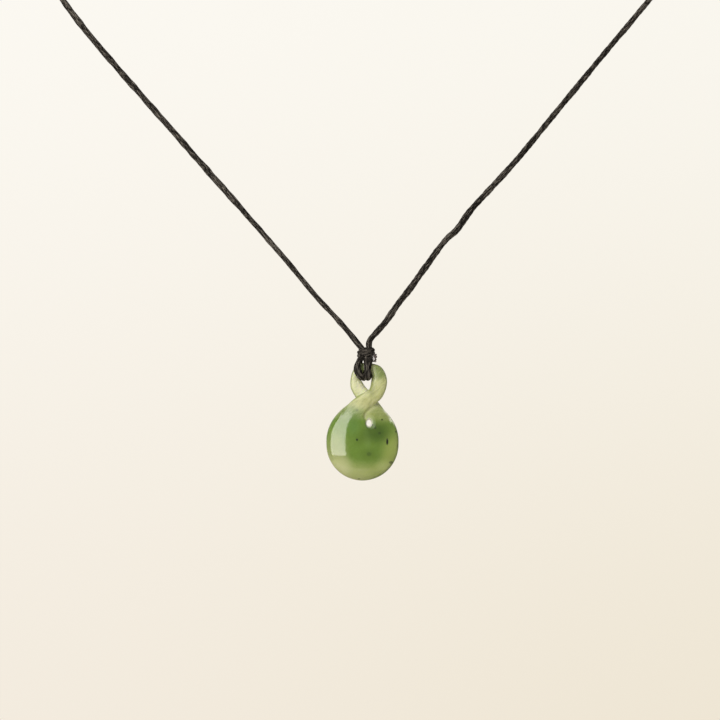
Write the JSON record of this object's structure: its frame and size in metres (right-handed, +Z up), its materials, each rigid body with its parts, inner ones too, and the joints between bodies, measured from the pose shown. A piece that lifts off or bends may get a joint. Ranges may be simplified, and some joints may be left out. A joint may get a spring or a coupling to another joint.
{
  "type": "greenstone twist pendant",
  "caption": "Polished greenstone single-twist pendant with a pierced ring, bound by its ring to a black waxed cord that makes a whole necklace closed at the nape.",
  "frame": {"origin": "middle of the closure at the nape of the neck, where the necklace hangs", "axes": "+Z up, -Y towards the front of the wearer and the front face of the pendant, +X to the right as the pendant is seen"},
  "size_m": [0.1654, 0.1293, 0.1619],
  "materials": {
    "greenstone": "polished translucent nephrite, olive at the ring and deep green in the drop",
    "waxed_cord": "black braided cord with a dull wax sheen",
    "barrel": "plain black, satin"
  },
  "bodies": {
    "necklace": {"eye_loop_left": "waxed_cord", "eye_loop_right": "waxed_cord", "binding_knot": "waxed_cord", "neck_cord_left": "waxed_cord", "neck_cord_right": "waxed_cord", "nape_barrel": "barrel"},
    "stone": {"greenstone_twist": "greenstone"}
  },
  "joints": [
    {"name": "pendant_swing", "type": "hinge", "parent": "necklace", "child": "stone", "pos_m": [0.0025, -0.124, -0.132], "axis": [1, 0, 0], "range_deg": [-20, 20]}
  ]
}
